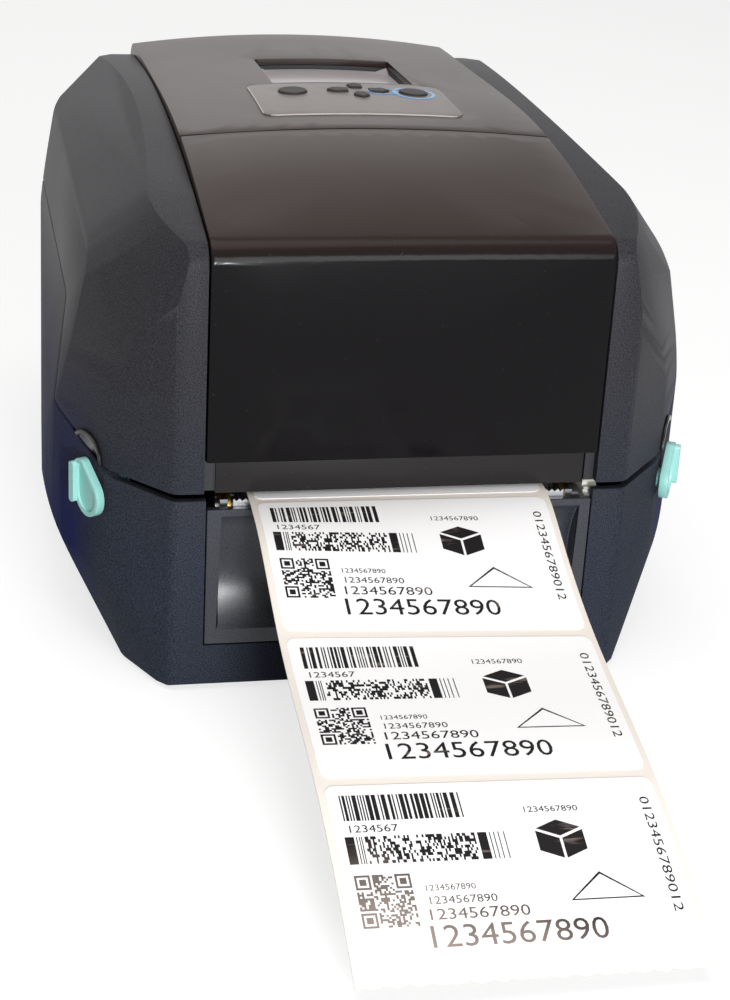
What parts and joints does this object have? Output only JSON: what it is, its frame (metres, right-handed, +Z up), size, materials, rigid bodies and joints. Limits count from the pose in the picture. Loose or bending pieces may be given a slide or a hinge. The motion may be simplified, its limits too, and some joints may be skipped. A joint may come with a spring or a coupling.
{
  "type": "desktop label printer",
  "caption": "Desktop thermal-transfer label printer with a hinged lid, release levers, operator panel and a printed label web hanging from its front slot.",
  "frame": {"origin": "bottom centre of the bounding box of the whole object, label web included, on the table", "axes": "+Z up, +Y from the label slot towards the printer's back, +X towards the right of someone facing the slot"},
  "size_m": [0.2288, 0.463, 0.1732],
  "materials": {
    "housing": "fine grain, satin",
    "gloss_black": "polished",
    "cover_grey": "satin",
    "inner_black": "matte",
    "smoked": "smoked, translucent look",
    "teal": "satin",
    "plate_grey": "satin film",
    "keys_dark": "matte",
    "display": "glossy window",
    "steel": "brushed",
    "zinc_sheet": "galvanised sheet",
    "brass": "turned",
    "roller_rubber": "ground",
    "foot_rubber": "matte",
    "gear_white": "moulded",
    "motor_can": "satin",
    "label_paper": "matte",
    "liner_paper": "glazed",
    "core_board": "matte",
    "board_green": "solder mask",
    "socket_metal": "plated",
    "black_plastic": "moulded",
    "ribbon_black": "wax film",
    "spindle_grey": "moulded",
    "head_aluminium": "anodised"
  },
  "bodies": {
    "base": {"base_shell": "housing", "base_plate": "housing", "rubber_feet": "foot_rubber", "case_screws": "steel", "front_panel": "housing", "tear_bar": "steel", "chassis": "zinc_sheet", "port_panel": "inner_black", "main_board": "board_green", "data_sockets": "socket_metal", "power_inlet": "black_plastic", "power_switch": "black_plastic", "hinge_brackets": "zinc_sheet", "hinge_pins": "steel", "platen_bearings": "brass", "motor_plate": "zinc_sheet", "stepper_motor": "motor_can", "label_liner": "liner_paper", "printed_labels": "label_paper"},
    "lid": {"lid_frame": "inner_black", "lid_cheek_left": "housing", "lid_cheek_right": "housing", "front_cover": "gloss_black", "top_cover": "cover_grey", "tear_guard": "smoked", "latch_pins": "steel", "latch_discs": "gloss_black", "operator_plate": "plate_grey", "control_board": "board_green", "display_module": "display", "ribbon_carriage": "zinc_sheet"},
    "platen": {"platen_roller": "roller_rubber", "platen_shaft": "steel", "platen_gear": "gear_white"},
    "idler": {"idler_gear": "gear_white"},
    "pinion": {"motor_pinion": "brass"},
    "label_supply": {"label_roll": "label_paper", "roll_core": "core_board"},
    "holder_right": {"media_holder_right": "inner_black"},
    "holder_left": {"media_holder_left": "inner_black"},
    "holder_gear": {"holder_pinion": "gear_white"},
    "guide_right": {"paper_guide_right": "inner_black"},
    "guide_left": {"paper_guide_left": "inner_black"},
    "guide_gear": {"guide_pinion": "gear_white"},
    "gap_sensor": {"media_sensor": "inner_black"},
    "lever_right": {"release_lever_right": "teal"},
    "lever_left": {"release_lever_left": "teal"},
    "ribbon_supply": {"supply_spindle": "spindle_grey", "supply_ribbon": "ribbon_black"},
    "ribbon_takeup": {"takeup_spindle": "spindle_grey", "takeup_ribbon": "ribbon_black"},
    "head": {"printhead": "head_aluminium", "printhead_bracket": "zinc_sheet"},
    "rocker": {"switch_rocker": "black_plastic"},
    "button_back": {"key_back": "keys_dark"},
    "button_select": {"key_select": "keys_dark"},
    "button_up": {"key_up": "keys_dark"},
    "button_down": {"key_down": "keys_dark"},
    "button_left": {"key_left": "keys_dark"},
    "button_right": {"key_right": "keys_dark"}
  },
  "joints": [
    {"name": "lid_hinge", "type": "hinge", "parent": "base", "child": "lid", "pos_m": [0, 0.2145, 0.127], "axis": [-1, 0, 0], "range_deg": [0, 75]},
    {"name": "lever_right_pivot", "type": "hinge", "parent": "base", "child": "lever_right", "pos_m": [0.09829, -0.02592, 0.061], "axis": [0.8944, -0.4472, 0], "range_deg": [0, 20], "stiffness_Nm_per_rad": 0.05, "springref_deg": -8.59},
    {"name": "lever_left_pivot", "type": "hinge", "parent": "base", "child": "lever_left", "pos_m": [-0.09829, -0.02592, 0.061], "axis": [0.8944, 0.4472, 0], "range_deg": [0, 20], "stiffness_Nm_per_rad": 0.05, "springref_deg": -8.59},
    {"name": "platen_spin", "type": "hinge", "parent": "base", "child": "platen", "pos_m": [0, -0.041, 0.062], "axis": [1, 0, 0], "continuous": true},
    {"name": "idler_spin", "type": "hinge", "parent": "base", "child": "idler", "pos_m": [0.0665, -0.02384, 0.0476], "axis": [1, 0, 0], "continuous": true},
    {"name": "pinion_spin", "type": "hinge", "parent": "base", "child": "pinion", "pos_m": [0.0665, -0.0058, 0.04104], "axis": [1, 0, 0], "continuous": true},
    {"name": "roll_spin", "type": "hinge", "parent": "base", "child": "label_supply", "pos_m": [0, 0.1115, 0.078], "axis": [1, 0, 0], "continuous": true},
    {"name": "holder_right_slide", "type": "slide", "parent": "base", "child": "holder_right", "axis": [1, 0, 0], "range_m": [0, 0.0028]},
    {"name": "holder_left_slide", "type": "slide", "parent": "base", "child": "holder_left", "axis": [-1, 0, 0], "range_m": [0, 0.0028]},
    {"name": "holder_gear_turn", "type": "hinge", "parent": "base", "child": "holder_gear", "pos_m": [0, 0.1115, 0.014], "axis": [0, 0, 1], "range_deg": [-33, 0]},
    {"name": "guide_right_slide", "type": "slide", "parent": "base", "child": "guide_right", "axis": [1, 0, 0], "range_m": [0, 0.0045]},
    {"name": "guide_left_slide", "type": "slide", "parent": "base", "child": "guide_left", "axis": [-1, 0, 0], "range_m": [0, 0.0045]},
    {"name": "guide_gear_turn", "type": "hinge", "parent": "base", "child": "guide_gear", "pos_m": [0, -0.0025, 0.0595], "axis": [0, 0, 1], "range_deg": [-52, 0]},
    {"name": "sensor_slide", "type": "slide", "parent": "base", "child": "gap_sensor", "axis": [1, 0, 0], "range_m": [-0.038, 0.038]},
    {"name": "ribbon_supply_spin", "type": "hinge", "parent": "lid", "child": "ribbon_supply", "pos_m": [0, 0.0265, 0.127], "axis": [1, 0, 0], "continuous": true},
    {"name": "ribbon_takeup_spin", "type": "hinge", "parent": "lid", "child": "ribbon_takeup", "pos_m": [0, -0.0175, 0.132], "axis": [1, 0, 0], "continuous": true},
    {"name": "head_pivot", "type": "hinge", "parent": "lid", "child": "head", "pos_m": [0, -0.0075, 0.08], "axis": [-1, 0, 0], "range_deg": [0, 3], "stiffness_Nm_per_rad": 2, "springref_deg": -11.46},
    {"name": "power_rocker", "type": "hinge", "parent": "base", "child": "rocker", "pos_m": [0.048, 0.2265, 0.037], "axis": [-1, 0, 0], "range_deg": [0, 16]},
    {"name": "key_back_press", "type": "slide", "parent": "lid", "child": "button_back", "axis": [0, 0, -1], "range_m": [0, 0.0005], "stiffness_N_per_m": 800, "springref_m": -0.0005},
    {"name": "key_select_press", "type": "slide", "parent": "lid", "child": "button_select", "axis": [0, 0, -1], "range_m": [0, 0.0005], "stiffness_N_per_m": 800, "springref_m": -0.0005},
    {"name": "key_up_press", "type": "slide", "parent": "lid", "child": "button_up", "axis": [0, 0, -1], "range_m": [0, 0.0005], "stiffness_N_per_m": 800, "springref_m": -0.0005},
    {"name": "key_down_press", "type": "slide", "parent": "lid", "child": "button_down", "axis": [0, 0, -1], "range_m": [0, 0.0005], "stiffness_N_per_m": 800, "springref_m": -0.0005},
    {"name": "key_left_press", "type": "slide", "parent": "lid", "child": "button_left", "axis": [0, 0, -1], "range_m": [0, 0.0005], "stiffness_N_per_m": 800, "springref_m": -0.0005},
    {"name": "key_right_press", "type": "slide", "parent": "lid", "child": "button_right", "axis": [0, 0, -1], "range_m": [0, 0.0005], "stiffness_N_per_m": 800, "springref_m": -0.0005}
  ],
  "couplings": [
    {"joint": "idler_spin", "follows": "platen_spin", "ratio": -0.55556},
    {"joint": "pinion_spin", "follows": "platen_spin", "ratio": 1.6667},
    {"joint": "holder_left_slide", "follows": "holder_right_slide", "ratio": 1},
    {"joint": "holder_gear_turn", "follows": "holder_right_slide", "rad_per_m": -200},
    {"joint": "guide_left_slide", "follows": "guide_right_slide", "ratio": 1},
    {"joint": "guide_gear_turn", "follows": "guide_right_slide", "rad_per_m": -200}
  ]
}
